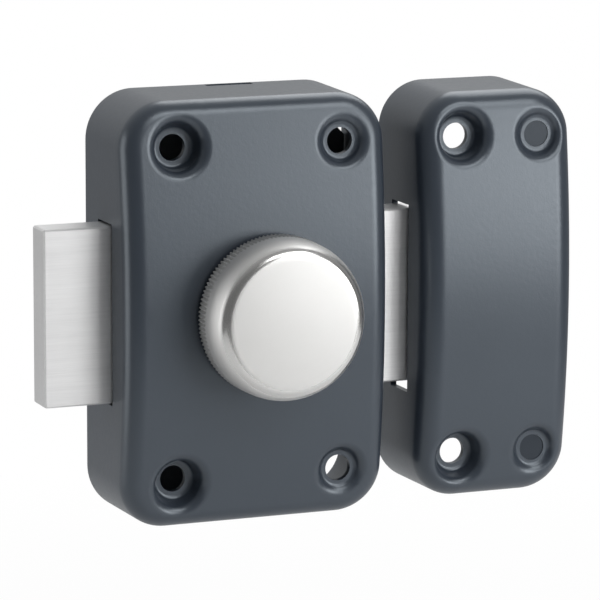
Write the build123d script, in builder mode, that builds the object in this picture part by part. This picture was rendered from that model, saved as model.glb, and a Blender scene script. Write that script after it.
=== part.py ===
"""Rim deadbolt: surface-mounted lock case with turn knob, sliding bolt and keeper.

The lock stands on the inner face of a door.  The origin is the middle of the case, on
the door's face.  +X points to the keeper, +Y into the door and +Z up, so the knob
stands out towards -Y.  Heights above the door are written as positive numbers and
placed with door.offset(height).
"""

import os
from math import acos, asin, cos, degrees, floor, pi, radians, sin, tan

from build123d import *

os.makedirs("parts", exist_ok=True)

# Lock case, a drawn steel cover with tapered walls and a crowned front
case_width = 65.6
case_height = 100.0
case_depth = 28.1
case_crown = 4.5
case_corner = 11.5
case_edge = 4.4
wall = 1.5
draft = 1.0

# Keeper, a second cover beside the case, with a mouth for the bolt
keeper_gap = 8.1
keeper_width = 39.6
keeper_height = 97.4
keeper_depth = 28.1
keeper_crown = 4.4
keeper_corner = 11.1
keeper_edge = 5.0
mouth_above = 0.9
mouth_below = 2.6
mouth_back_play = 0.5
mouth_front_play = 0.9

# Fixing holes and their pressed dimples
screw_hole = 6.2
deep_hole_inset = 13.9
shallow_hole_inset = 11.7
case_hole_end_inset = 11.3
keeper_hole_end_inset = 10.9
keeper_hole_inset = 10.9
keeper_plug_inset = 9.3
deep_depth = 5.2
deep_radius = 7.5
deep_slope = 78.0
shallow_depth = 2.0
shallow_radius = 6.4
shallow_slope = 70.0
lip = 1.9
floor_fillet = 1.0
floor_slack = 0.8
plug_head = 8.4
plug_head_thickness = 1.0
plug_recess = 0.2
plug_fit = 0.03

# Bolt, a flat bar that runs through both side walls of the case
bolt_height = 41.4
bolt_thickness = 8.0
bolt_lift = 8.7
bolt_tail = 15.9
bolt_inset = 0.4
bolt_chamfer = 0.4
bolt_play = 0.5

# Rack and pinion: one full turn of the knob is one throw of the bolt
gear_module = 1.0
gear_teeth = 8
pressure_angle = 20.0
profile_shift = 0.53
gear_tip_radius = 5.2
root_clearance = 0.25
backlash = 0.1
gear_width = 4.6
flank_steps = 4
rack_thickness = 4.7
rack_top = 11.5
rack_wall_gap = 0.35
rivet_diameter = 2.6
rivet_head = 4.4
rivet_depth = 4.0
rivet_inset = 3.0

# Spindle, bushes and rings, all on the knob's axis
knob_axis_x = 2.9
journal = 7.0
slot_clearance = 0.35
rear_journal = 10.0
running_fit = 0.05
bush_fit = 0.02
rear_end_height = 0.8
rear_journal_top = 3.8
tail_slot_width = 2.4
tail_slot_length = 8.0
tail_slot_depth = 2.8
rear_bush_outside = 13.0
rear_flange = 17.0
rear_flange_thickness = 0.9
front_bush_outside = 11.0
front_flange = 16.0
front_flange_thickness = 1.2
bush_stand = 0.3
washer_outside = 15.0
washer_thickness = 0.6
ring_outside = 12.0
ring_thickness = 0.8
ring_mouth = 4.6
groove_diameter = 5.8
stack_gap = 0.05

# Back plate
plate_thickness = 1.8
plate_inset = 0.6
plate_side_gap = 0.3
plate_bottom_gap = 2.1
plate_chamfer = 11.3
tongue_width = 11.2
tongue_x = 2.1
tongue_short = 0.8
tongue_play = 0.15

# Pillars welded inside the case, and the screws that hold the back plate to them
pillar_diameter = 7.0
pillar_gap = 0.9
pillar_end_inset = 13.0
plate_screw = 4.0
plate_screw_head = 7.0
plate_screw_length = 11.0
head_recess = 0.1
head_gap = 0.05
screw_end_gap = 0.5
thread_gap = 0.02
socket_share = 0.36

# Guide rails of the bolt, and the friction spring in the lower one
guide_length = 48.0
guide_overlap = 6.5
guide_lip_depth = 5.9
guide_lip_thickness = 3.6
guide_play = 0.15
guide_chamfer = 0.5
guide_screw = 3.0
guide_screw_head = 5.6
guide_screw_spacing = 32.0
guide_screw_length = 6.0
spring_length = 26.0
spring_width = 4.4
spring_thickness = 0.4
spring_arch = 1.2
spring_play = 0.05
spring_side_gap = 0.1
spring_end_gap = 1.0

# Knob
knob_radius = 18.9
knob_height = 13.0
knob_gap = 0.9
knurl_height = 4.7
knurl_teeth = 120
knurl_depth = 0.55
knurl_runout = 0.5
body_step = 0.12
shoulder_run = 3.4
shoulder_rise = 6.0
dome_rise = 0.6
knob_wall = 2.4
knob_cavity = 9.2
hub_diameter = 15.0
spindle_into_knob = 8.6
flat_depth = 0.8
grub_diameter = 3.0
grub_access = 3.4
grub_height = 2.6
grub_socket = 1.5
quarter_turn = 90

# Places that follow from the sizes above
case_right = case_width / 2
case_left = -case_width / 2
case_inner_top = case_depth - wall
side_lean = tan(radians(draft))
keeper_left = case_right + keeper_gap
keeper_middle = keeper_left + keeper_width / 2
plate_top = plate_inset + plate_thickness
screw_reach = plate_thickness - head_recess - screw_end_gap
knob_base = case_depth + knob_gap
near_door = case_depth / 2
pitch_radius = gear_module * gear_teeth / 2
pitch = pi * gear_module
throw = gear_teeth * pitch
bolt_front = bolt_lift + bolt_thickness
bolt_middle = bolt_lift + bolt_thickness / 2
bolt_right = case_right - bolt_inset + throw
bolt_left = case_left - bolt_tail
bolt_edge = bolt_height / 2

# Planes: the door's face, the same plane about the knob's axis, and a section through that axis
door = Plane.XZ
axle = Plane(origin=(knob_axis_x, 0, 0), x_dir=(1, 0, 0), z_dir=(0, -1, 0))
axle_section = Plane(origin=(knob_axis_x, 0, 0), x_dir=(1, 0, 0), z_dir=(0, 0, 1))
turning_axis = Axis((knob_axis_x, 0, 0), (0, 1, 0))

# Pairs of X and Z for what stands on the door's plane
case_hole_z = case_height / 2 - case_hole_end_inset
deep_places = [(case_left + deep_hole_inset, side * case_hole_z) for side in (-1, 1)]
shallow_places = [(case_right - shallow_hole_inset, side * case_hole_z) for side in (-1, 1)]
keeper_hole_x = keeper_left + keeper_hole_inset
keeper_plug_x = keeper_left + keeper_width - keeper_plug_inset
keeper_hole_z = keeper_height / 2 - keeper_hole_end_inset
keeper_hole_places = [(keeper_hole_x, side * keeper_hole_z) for side in (-1, 1)]
keeper_plug_places = [(keeper_plug_x, side * keeper_hole_z) for side in (-1, 1)]
pillar_z = pillar_end_inset - case_height / 2
pillar_x = case_right - deep_hole_inset - deep_radius - pillar_gap - pillar_diameter / 2
pillar_places = [(-pillar_x, pillar_z), (pillar_x, pillar_z)]
guide_ledge = bolt_edge + guide_play
guide_outer = guide_ledge + guide_lip_thickness
guide_inner = bolt_edge - guide_overlap
guide_screw_z = (guide_inner + guide_outer) / 2
lower_screw_places = [(side * guide_screw_spacing / 2, -guide_screw_z) for side in (-1, 1)]
upper_screw_places = [(side * guide_screw_spacing / 2, guide_screw_z) for side in (-1, 1)]


def spots(places, height=0.0):
    """Locations at a height above the door for pairs of X and Z, unturned."""
    return Locations(*[(x, -height, z) for x, z in places])


def facing_door(places, height):
    """Locations at a height above the door whose own Z axis points into the door."""
    return Locations(*[Location((x, -height, z), (-90, 0, 0)) for x, z in places])


def crown_radius(height, crown):
    """Radius of the arc that drops by the crown over half a height."""
    return ((height / 2) ** 2 + crown**2) / (2 * crown)


def blank(width, height, depth, crown, corner, edge):
    """Tapered block with rounded corners, centred on the origin.

    Its front is part of a cylinder of the radius crown that lies along X, and its front
    edge is rounded.
    """
    with BuildPart() as block:
        with BuildSketch(door):
            RectangleRounded(width, height, corner)
        extrude(amount=depth, taper=draft)
        with BuildSketch(Plane.YZ.offset(-width)):
            with Locations((crown - depth, 0)):
                Circle(crown)
        extrude(amount=2 * width, mode=Mode.INTERSECT)
        fillet(block.faces().sort_by(Axis.Y)[0].edges(), edge)
    return block.part


def inner_blank(width, height, depth, crown, corner, edge):
    """Block that leaves an even wall inside the blank of the same sizes."""
    side = wall / cos(radians(draft))
    return blank(width - 2 * side, height - 2 * side, depth - wall, crown - wall, corner - side, edge - wall)


def seat(height_z, depth, front, crown):
    """Height of a dimple's floor at a Z, and the lean in degrees of a dimple square to the front.

    The floor's centre lies on a cylinder inside the front's, smaller by the dimple's depth.
    """
    lean = asin(height_z / (crown - depth))
    return front - crown + (crown - depth) * cos(lean), degrees(lean)


def dimple_tools(places, depth, radius, slope, front, crown):
    """Solids that fill dimples pressed square to a crowned front, with floors square to the door.

    Their half profile runs from the rim inwards: an arc that rolls over from the face to
    a wall of the given slope, that wall, and an arc that rolls back to the floor.
    """
    turn = radians(slope)
    deep = depth + floor_slack
    wall_run = (depth - (lip + floor_fillet) * (1 - cos(turn))) / tan(turn)
    lip_foot = radius - lip * sin(turn)
    wall_foot = lip_foot - wall_run
    floor_radius = wall_foot - floor_fillet * sin(turn)
    rim = -depth
    with BuildPart() as tool:
        with BuildSketch(Plane.XY):
            with BuildLine():
                Polyline((0, deep - depth), (floor_radius, deep - depth), (floor_radius, 0))
                ThreePointArc(
                    (floor_radius, 0),
                    (floor_radius + floor_fillet * sin(turn / 2), -floor_fillet * (1 - cos(turn / 2))),
                    (wall_foot, -floor_fillet * (1 - cos(turn))),
                )
                Line((wall_foot, -floor_fillet * (1 - cos(turn))), (lip_foot, rim + lip * (1 - cos(turn))))
                ThreePointArc(
                    (lip_foot, rim + lip * (1 - cos(turn))),
                    (radius - lip * sin(turn / 2), rim + lip * (1 - cos(turn / 2))),
                    (radius, rim),
                )
                Polyline((radius, rim), (radius, rim - lip), (0, rim - lip), (0, deep - depth))
            make_face()
        revolve(axis=Axis.Y)
    floor_height = seat(places[0][1], depth, front, crown)[0]
    with BuildPart() as tools:
        for x, z in places:
            height, lean = seat(z, depth, front, crown)
            with Locations(Location((x, -height, z), (-lean, 0, 0))):
                add(tool.part)
        with BuildSketch(door.offset(floor_height)):
            with Locations(*places):
                Circle(2 * radius)
        extrude(amount=front, mode=Mode.INTERSECT)
    return tools.part


def cups(places, depth, radius, front, crown):
    """Undersides of dimples: what the sheet that wraps round them takes from the hollow."""
    floor_height = seat(places[0][1], depth, front, crown)[0]
    with BuildPart() as cup:
        with BuildSketch(door.offset(floor_height - wall)):
            Circle(radius)
        extrude(amount=front)
        fillet(cup.faces().sort_by(Axis.Y)[-1].edges(), floor_fillet + wall / 2)
    with BuildPart() as group:
        with spots(places):
            add(cup.part)
    return group.part


def turned(outline):
    """Solid of revolution about the Y axis from pairs of radius and height above the door."""
    with BuildPart() as piece:
        with BuildSketch(Plane.XY):
            Polygon(*[(radius, -height) for radius, height in outline], align=None)
        revolve(axis=Axis.Y)
    return piece.part


# Case: four dimpled holes, bolt mouths in both sides, a bush hole and a slot for the tongue
case_arc = crown_radius(case_height, case_crown)
case_sizes = (case_width, case_height, case_depth, case_arc, case_corner, case_edge)
case_inside = inner_blank(*case_sizes)
with BuildPart() as lock_case:
    add(blank(*case_sizes))
    with BuildPart(mode=Mode.SUBTRACT):
        add(case_inside)
        add(cups(deep_places, deep_depth, deep_radius, case_depth, case_arc), mode=Mode.SUBTRACT)
        add(cups(shallow_places, shallow_depth, shallow_radius, case_depth, case_arc), mode=Mode.SUBTRACT)
    add(
        dimple_tools(deep_places, deep_depth, deep_radius, deep_slope, case_depth, case_arc),
        mode=Mode.SUBTRACT,
    )
    add(
        dimple_tools(shallow_places, shallow_depth, shallow_radius, shallow_slope, case_depth, case_arc),
        mode=Mode.SUBTRACT,
    )
    with BuildSketch(door.offset(near_door)):
        with Locations(*deep_places, *shallow_places):
            Circle(screw_hole / 2)
        with Locations((knob_axis_x, 0)):
            Circle(front_bush_outside / 2)
    extrude(amount=case_depth, mode=Mode.SUBTRACT)
    with BuildSketch(door.offset(near_door)):
        with Locations((knob_axis_x, 0)):
            Circle(front_flange / 2 + running_fit)
    extrude(amount=case_inner_top - near_door, mode=Mode.SUBTRACT)
    with BuildSketch(Plane.YZ.offset(case_left - wall)):
        with Locations((-bolt_middle, 0)):
            Rectangle(bolt_thickness + 2 * bolt_play, bolt_height + 2 * bolt_play)
    extrude(amount=case_width + 2 * wall, mode=Mode.SUBTRACT)
    with BuildSketch(door.offset(plate_inset - tongue_play)):
        with Locations((tongue_x, case_height / 2)):
            Rectangle(tongue_width + 2 * tongue_play, 3 * wall)
    extrude(amount=plate_thickness + 3 * tongue_play, mode=Mode.SUBTRACT)
lock_case.part.label = "lock_case"

# Pillars on the inside of the case's front wall, threaded for the back plate's screws
with BuildPart() as case_pillars:
    with BuildSketch(door.offset(plate_top)):
        with Locations(*pillar_places):
            Circle(pillar_diameter / 2)
    extrude(amount=case_inner_top - plate_top)
    add(case_inside, mode=Mode.INTERSECT)
    with facing_door(pillar_places, plate_top):
        Hole(plate_screw / 2 + thread_gap, depth=plate_screw_length - screw_reach)
case_pillars.part.label = "case_pillars"

# Back plate: cut corners, and a tongue that hooks into the case's top wall
plate_half_width = case_right - wall - plate_side_gap
plate_upper = case_height / 2 - wall - plate_side_gap
plate_lower = -case_height / 2 + wall + plate_bottom_gap
with BuildPart() as back_plate:
    with BuildSketch(door.offset(plate_inset)) as plate_outline:
        with Locations((0, (plate_upper + plate_lower) / 2)):
            Rectangle(2 * plate_half_width, plate_upper - plate_lower)
        chamfer(plate_outline.vertices(), plate_chamfer)
        with Locations((tongue_x, plate_upper)):
            Rectangle(tongue_width, 2 * (case_height / 2 - tongue_short - plate_upper))
        with Locations(*deep_places, *shallow_places):
            Circle(screw_hole / 2, mode=Mode.SUBTRACT)
        with Locations((knob_axis_x, 0)):
            Circle(rear_bush_outside / 2 + bush_fit, mode=Mode.SUBTRACT)
    extrude(amount=plate_thickness)
    with facing_door(lower_screw_places + upper_screw_places, plate_inset):
        CounterSinkHole(guide_screw / 2 + thread_gap, guide_screw_head / 2)
    with facing_door(pillar_places, plate_inset):
        CounterSinkHole(plate_screw / 2 + thread_gap, plate_screw_head / 2)
back_plate.part.label = "back_plate"


def flush_screws(places, diameter, head, length):
    """Countersunk screws with hexagon sockets, set a little below the back plate's rear face."""
    head_radius = head / 2 - head_recess - head_gap
    sink = head_radius - diameter / 2
    with BuildPart() as screw:
        add(turned([(0, 0), (head_radius, 0), (diameter / 2, sink), (diameter / 2, length), (0, length)]))
        with BuildSketch(door):
            RegularPolygon(diameter * socket_share, 6)
        extrude(amount=sink, mode=Mode.SUBTRACT)
    with BuildPart() as group:
        with spots(places, plate_inset + head_recess):
            add(screw.part)
    return group.part


plate_screws = flush_screws(pillar_places, plate_screw, plate_screw_head, plate_screw_length)
plate_screws.label = "plate_screws"
guide_screws = flush_screws(
    lower_screw_places + upper_screw_places, guide_screw, guide_screw_head, guide_screw_length
)
guide_screws.label = "guide_screws"

# Guide rails: a foot behind the bolt's edge and a lip along it
guide_step = bolt_lift - guide_play
guide_lip_end = bolt_lift + guide_lip_depth
guide_profile = [
    (-plate_top, guide_inner),
    (-guide_step, guide_inner),
    (-guide_step, guide_ledge),
    (-guide_lip_end, guide_ledge),
    (-guide_lip_end, guide_outer),
    (-plate_top, guide_outer),
]
with BuildPart() as upper_guide:
    with BuildSketch(Plane.YZ.offset(-guide_length / 2)):
        Polygon(*guide_profile, align=None)
    extrude(amount=guide_length)
    chamfer(upper_guide.faces().sort_by(Axis.Y)[0].edges(), guide_chamfer)
    with facing_door(upper_screw_places, plate_top):
        Hole(guide_screw / 2 + thread_gap, depth=guide_screw_length - screw_reach)
upper_guide.part.label = "upper_guide"

# The lower rail has a pocket for the friction spring
spring_seat = bolt_edge + spring_play + spring_thickness + spring_arch
spring_foot = bolt_lift + (guide_lip_depth - spring_width) / 2
with BuildPart() as lower_guide:
    with BuildSketch(Plane.YZ.offset(-guide_length / 2)):
        Polygon(*[(y, -z) for y, z in reversed(guide_profile)], align=None)
    extrude(amount=guide_length)
    chamfer(lower_guide.faces().sort_by(Axis.Y)[0].edges(), guide_chamfer)
    with facing_door(lower_screw_places, plate_top):
        Hole(guide_screw / 2 + thread_gap, depth=guide_screw_length - screw_reach)
    with BuildSketch(door.offset(spring_foot - spring_side_gap)):
        with Locations((0, -(spring_seat + guide_ledge) / 2)):
            Rectangle(spring_length + 2 * spring_end_gap, spring_seat - guide_ledge)
    extrude(amount=spring_width + 2 * spring_side_gap, mode=Mode.SUBTRACT)
lower_guide.part.label = "lower_guide"

# Friction spring: an arched leaf that rubs on the bolt's lower edge
leaf_half = spring_length / 2
leaf_ends = -spring_seat
leaf_back = leaf_ends + spring_thickness
with BuildPart() as friction_spring:
    with BuildSketch(door.offset(spring_foot)):
        with BuildLine():
            ThreePointArc((-leaf_half, leaf_ends), (0, leaf_ends + spring_arch), (leaf_half, leaf_ends))
            Line((leaf_half, leaf_ends), (leaf_half, leaf_back))
            ThreePointArc((leaf_half, leaf_back), (0, leaf_back + spring_arch), (-leaf_half, leaf_back))
            Line((-leaf_half, leaf_back), (-leaf_half, leaf_ends))
        make_face()
    extrude(amount=spring_width)
friction_spring.part.label = "friction_spring"


def axle_ring(outside, inside, height, thickness):
    """Flat ring on the knob's axis whose face on the door's side stands at the height given."""
    with BuildPart() as ring:
        with BuildSketch(axle.offset(height)):
            Circle(outside / 2)
            Circle(inside / 2, mode=Mode.SUBTRACT)
        extrude(amount=thickness)
    return ring.part


# Flanged bushes: one in the back plate behind the pinion, one in the case's front wall
rear_bore = rear_journal + 2 * running_fit
front_bore = journal + 2 * running_fit
with BuildPart() as rear_bush:
    add(axle_ring(rear_bush_outside, rear_bore, plate_inset, plate_thickness))
    add(axle_ring(rear_flange, rear_bore, plate_top, rear_flange_thickness))
rear_bush.part.label = "rear_bush"

bush_foot = case_inner_top - front_flange_thickness
bush_top = case_depth + bush_stand
with BuildPart() as front_bush:
    add(axle_ring(front_flange, front_bore, bush_foot, front_flange_thickness))
    add(axle_ring(front_bush_outside - 2 * bush_fit, front_bore, case_inner_top, wall + bush_stand))
front_bush.part.label = "front_bush"

# Washers on either side of the front bush
thrust_washer_foot = bush_foot - stack_gap - washer_thickness
thrust_washer = axle_ring(washer_outside, front_bore, thrust_washer_foot, washer_thickness)
thrust_washer.label = "thrust_washer"
knob_washer = axle_ring(
    washer_outside, front_bore, bush_top + stack_gap, knob_base - bush_top - 2 * stack_gap
)
knob_washer.label = "knob_washer"

# Retaining ring: an open ring that snaps into the spindle's groove
ring_foot = thrust_washer_foot - stack_gap - ring_thickness
with BuildPart() as retaining_ring:
    with BuildSketch(axle.offset(ring_foot)):
        Circle(ring_outside / 2)
        Circle(groove_diameter / 2 + running_fit, mode=Mode.SUBTRACT)
        with Locations((0, -ring_outside / 2)):
            Rectangle(ring_mouth, ring_outside, mode=Mode.SUBTRACT)
    extrude(amount=ring_thickness)
retaining_ring.part.label = "retaining_ring"

# Pinion tooth along +X: involute flanks on a shifted profile, so few teeth aren't undercut
slope = tan(radians(pressure_angle))
base_radius = pitch_radius * cos(radians(pressure_angle))
rack_line = pitch_radius + profile_shift * gear_module
rack_tip = rack_line - gear_module
rack_root = gear_tip_radius + root_clearance
root_radius = rack_tip - root_clearance


def involute(angle):
    """Involute function of a pressure angle in radians."""
    return tan(angle) - angle


pitch_half_angle = (pi / 2 + 2 * profile_shift * slope) / gear_teeth
tooth_half_angle = pitch_half_angle + involute(radians(pressure_angle))


def flank(radius, side):
    """Point of a tooth's flank at a radius."""
    turn = side * (tooth_half_angle - involute(acos(base_radius / radius)))
    return (radius * cos(turn), radius * sin(turn))


flank_radii = [
    base_radius + (gear_tip_radius - base_radius) * step / flank_steps
    for step in range(flank_steps + 1)
]
foot_x = root_radius * cos(tooth_half_angle) / 2
foot_z = root_radius * sin(tooth_half_angle) / 2
with BuildSketch(axle.offset(rear_journal_top)) as tooth:
    with BuildLine():
        Polyline(flank(base_radius, 1), (foot_x, foot_z), (foot_x, -foot_z), flank(base_radius, -1))
        Spline(*[flank(radius, -1) for radius in flank_radii])
        ThreePointArc(flank(gear_tip_radius, -1), (gear_tip_radius, 0), flank(gear_tip_radius, 1))
        Spline(*[flank(radius, 1) for radius in reversed(flank_radii)])
    make_face()

# Pinion shaft: rear journal with a slot for the tail bar, pinion, journal and flat for the knob
gear_top = rear_journal_top + gear_width
shaft_top = knob_base + spindle_into_knob
with BuildPart() as pinion_shaft:
    with BuildSketch(axle.offset(rear_end_height)):
        Circle(rear_journal / 2)
    extrude(amount=rear_journal_top - rear_end_height)
    with BuildSketch(axle.offset(rear_journal_top)):
        Circle(root_radius)
        with PolarLocations(0, gear_teeth, start_angle=quarter_turn + 180 / gear_teeth):
            add(tooth.sketch_local)
    extrude(amount=gear_width)
    with BuildSketch(axle.offset(gear_top)):
        Circle(journal / 2)
    extrude(amount=shaft_top - gear_top)
    chamfer(pinion_shaft.faces().sort_by(Axis.Y)[0].edges(), flat_depth / 2)
    add(
        axle_ring(2 * journal, groove_diameter, ring_foot - stack_gap, ring_thickness + 2 * stack_gap),
        mode=Mode.SUBTRACT,
    )
    with BuildSketch(axle.offset(knob_base + stack_gap)):
        with Locations((0, flat_depth - journal)):
            Rectangle(journal, journal)
    extrude(amount=spindle_into_knob, mode=Mode.SUBTRACT)
    with BuildSketch(axle.offset(rear_end_height)):
        SlotOverall(tail_slot_length, tail_slot_width, rotation=quarter_turn)
    extrude(amount=tail_slot_depth, mode=Mode.SUBTRACT)
pinion_shaft.part.label = "pinion_shaft"

# Rack strip behind the bolt, with straight-sided teeth that point down at the pinion
half_tooth = pitch / 4 - backlash
half_tip = half_tooth - (rack_line - rack_tip) * slope
half_root = half_tooth + (rack_root - rack_line) * slope
rack_right = case_right - wall - side_lean * bolt_lift - rack_wall_gap
rack_left = throw - rack_right
rack_back = bolt_lift - rack_thickness
first_tooth = -floor((knob_axis_x - rack_left - half_root) / pitch)
last_tooth = floor((rack_right - half_root - knob_axis_x) / pitch)
rack_outline = [(rack_right, rack_top), (rack_left, rack_top), (rack_left, rack_root)]
for number in range(first_tooth, last_tooth + 1):
    tooth_x = knob_axis_x + number * pitch
    rack_outline.append((tooth_x - half_root, rack_root))
    rack_outline.append((tooth_x - half_tip, rack_tip))
    rack_outline.append((tooth_x + half_tip, rack_tip))
    rack_outline.append((tooth_x + half_root, rack_root))
rack_outline.append((rack_right, rack_root))
rivet_z = (rack_root + rack_top) / 2
rivet_xs = (rack_left + rivet_inset, (rack_left + rack_right) / 2, rack_right - rivet_inset)
rivet_places = [(rivet_x, rivet_z) for rivet_x in rivet_xs]
with BuildPart() as rack_strip:
    with BuildSketch(door.offset(rack_back)):
        Polygon(*rack_outline, align=None)
    extrude(amount=rack_thickness)
    with facing_door(rivet_places, rack_back):
        CounterSinkHole(rivet_diameter / 2, rivet_head / 2)
rack_strip.part.label = "rack_strip"

rivet_sink = (rivet_head - rivet_diameter) / 2
rivet_length = rack_thickness + rivet_depth
rivet = turned(
    [
        (0, 0),
        (rivet_head / 2, 0),
        (rivet_diameter / 2, rivet_sink),
        (rivet_diameter / 2, rivet_length),
        (0, rivet_length),
    ]
)
with BuildPart() as rack_rivets:
    with spots(rivet_places, rack_back):
        add(rivet)
rack_rivets.part.label = "rack_rivets"

# Bolt bar, with a long hole that lets it slide past the spindle
with BuildPart() as bolt_bar:
    with BuildSketch(door.offset(bolt_lift)):
        with Locations(((bolt_left + bolt_right) / 2, 0)):
            Rectangle(bolt_right - bolt_left, bolt_height)
    extrude(amount=bolt_thickness)
    chamfer(bolt_bar.edges(), bolt_chamfer)
    with BuildSketch(door.offset(bolt_lift)):
        with Locations((knob_axis_x + throw / 2, 0)):
            SlotCenterToCenter(throw, journal + 2 * slot_clearance)
    extrude(amount=bolt_thickness, mode=Mode.SUBTRACT)
    with facing_door(rivet_places, bolt_lift):
        Hole(rivet_diameter / 2, depth=rivet_depth)
bolt_bar.part.label = "bolt_bar"

# Knob: knurled skirt, rounded shoulder, slightly domed face, hollow back and a hub
body_radius = knob_radius - body_step
knurl_root = knob_radius - knurl_depth
knurl_top = knob_base + knurl_height
knob_top = knob_base + knob_height
shoulder_top = knob_top - dome_rise
shoulder_foot = shoulder_top - shoulder_rise
face_radius = body_radius - shoulder_run
knurl_angles = [pi * step / knurl_teeth for step in range(2 * knurl_teeth)]
knurl_radii = [knurl_root, knob_radius] * knurl_teeth
with BuildPart() as knob:
    with BuildSketch(axle.offset(knob_base)):
        Polygon(
            *[(radius * cos(turn), radius * sin(turn)) for radius, turn in zip(knurl_radii, knurl_angles)],
            align=None,
        )
    extrude(amount=knurl_height)
    with BuildSketch(axle_section) as body_section:
        with BuildLine():
            Polyline(
                (0, -knob_base - knurl_height / 2),
                (knurl_root, -knob_base - knurl_height / 2),
                (knurl_root, -knurl_top + knurl_runout),
                (body_radius, -knurl_top),
                (body_radius, -shoulder_foot),
            )
            EllipticalCenterArc(
                (face_radius, -shoulder_foot),
                shoulder_run,
                shoulder_rise,
                start_angle=-quarter_turn,
                arc_size=quarter_turn,
            )
            TangentArc((0, -knob_top), (face_radius, -shoulder_top), tangent=(1, 0))
            Line((0, -knob_top), (0, -knob_base - knurl_height / 2))
        make_face()
    revolve(axis=turning_axis)
    add(axle_ring(2 * (body_radius - knob_wall), hub_diameter, knob_base, knob_cavity), mode=Mode.SUBTRACT)
    with BuildSketch(axle.offset(knob_base)):
        Circle(journal / 2 + bush_fit)
    extrude(amount=spindle_into_knob + stack_gap, mode=Mode.SUBTRACT)
    with BuildSketch(Plane(origin=(knob_axis_x, 0, 0), x_dir=(1, 0, 0), z_dir=(0, 0, -1))):
        with Locations((0, knob_base + grub_height)):
            Circle(grub_access / 2)
    extrude(amount=knob_radius, mode=Mode.SUBTRACT)
knob.part.label = "knob"

# Grub screw between the hub's rim and the spindle's flat
grub_tip = (knob_axis_x, 0, flat_depth - journal / 2)
with BuildPart() as knob_grub_screw:
    with BuildSketch(Plane(origin=grub_tip, x_dir=(1, 0, 0), z_dir=(0, 0, -1))):
        with Locations((0, knob_base + grub_height)):
            Circle(grub_diameter / 2)
    extrude(amount=(hub_diameter - journal) / 2 + flat_depth)
    with BuildSketch(Plane(origin=(knob_axis_x, 0, -hub_diameter / 2), x_dir=(1, 0, 0), z_dir=(0, 0, 1))):
        with Locations((0, -knob_base - grub_height)):
            RegularPolygon(grub_socket / 2, 6)
    extrude(amount=grub_socket, mode=Mode.SUBTRACT)
knob_grub_screw.part.label = "knob_grub_screw"

# Keeper: two open dimpled holes beside the mouth and two plugged ones on the far side
keeper_arc = crown_radius(keeper_height, keeper_crown)
keeper_sizes = (keeper_width, keeper_height, keeper_depth, keeper_arc, keeper_corner, keeper_edge)
keeper_home = [(keeper_middle, 0)]
mouth_top = bolt_edge + mouth_above
mouth_bottom = -bolt_edge - mouth_below
mouth_back = bolt_lift - mouth_back_play
mouth_front = bolt_front + mouth_front_play
with BuildPart() as keeper_case:
    with spots(keeper_home):
        add(blank(*keeper_sizes))
    with BuildPart(mode=Mode.SUBTRACT):
        with spots(keeper_home):
            add(inner_blank(*keeper_sizes))
        add(
            cups(keeper_hole_places, deep_depth, deep_radius, keeper_depth, keeper_arc),
            mode=Mode.SUBTRACT,
        )
        add(
            cups(keeper_plug_places, shallow_depth, shallow_radius, keeper_depth, keeper_arc),
            mode=Mode.SUBTRACT,
        )
    add(
        dimple_tools(keeper_hole_places, deep_depth, deep_radius, deep_slope, keeper_depth, keeper_arc),
        mode=Mode.SUBTRACT,
    )
    add(
        dimple_tools(
            keeper_plug_places, shallow_depth, shallow_radius, shallow_slope, keeper_depth, keeper_arc
        ),
        mode=Mode.SUBTRACT,
    )
    with BuildSketch(door.offset(keeper_depth / 2)):
        with Locations(*keeper_hole_places, *keeper_plug_places):
            Circle(screw_hole / 2)
    extrude(amount=keeper_depth, mode=Mode.SUBTRACT)
    with BuildSketch(Plane.YZ.offset(keeper_left - wall)):
        with Locations((-(mouth_back + mouth_front) / 2, (mouth_top + mouth_bottom) / 2)):
            Rectangle(mouth_front - mouth_back, mouth_top - mouth_bottom)
    extrude(amount=4 * wall, mode=Mode.SUBTRACT)
keeper_case.part.label = "keeper_case"

# Plugs that close the keeper's two unused holes from inside
plug_floor = seat(keeper_hole_z, shallow_depth, keeper_depth, keeper_arc)[0] - wall
plug_radius = screw_hole / 2 - plug_fit
plug = turned(
    [
        (0, plug_floor - plug_head_thickness),
        (plug_head / 2, plug_floor - plug_head_thickness),
        (plug_head / 2, plug_floor),
        (plug_radius, plug_floor),
        (plug_radius, plug_floor + wall - plug_recess),
        (0, plug_floor + wall - plug_recess),
    ]
)
with BuildPart() as keeper_plugs:
    with spots(keeper_plug_places):
        add(plug)
keeper_plugs.part.label = "keeper_plugs"

finished = [
    lock_case.part, case_pillars.part, back_plate.part, plate_screws, guide_screws,
    upper_guide.part, lower_guide.part, friction_spring.part, rear_bush.part, front_bush.part,
    thrust_washer, knob_washer, retaining_ring.part, pinion_shaft.part, rack_strip.part,
    rack_rivets.part, bolt_bar.part, knob.part, knob_grub_screw.part, keeper_case.part,
    keeper_plugs.part,
]
for piece in finished:
    export_step(piece, f"parts/{piece.label}.step")
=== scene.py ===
"""Looks of a rim deadbolt: pressed covers, a knurled knob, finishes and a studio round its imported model."""

import math

import bpy
import numpy as np
from bpy.props import FloatProperty, FloatVectorProperty, IntProperty, PointerProperty
from mathutils import Matrix, Vector


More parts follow.
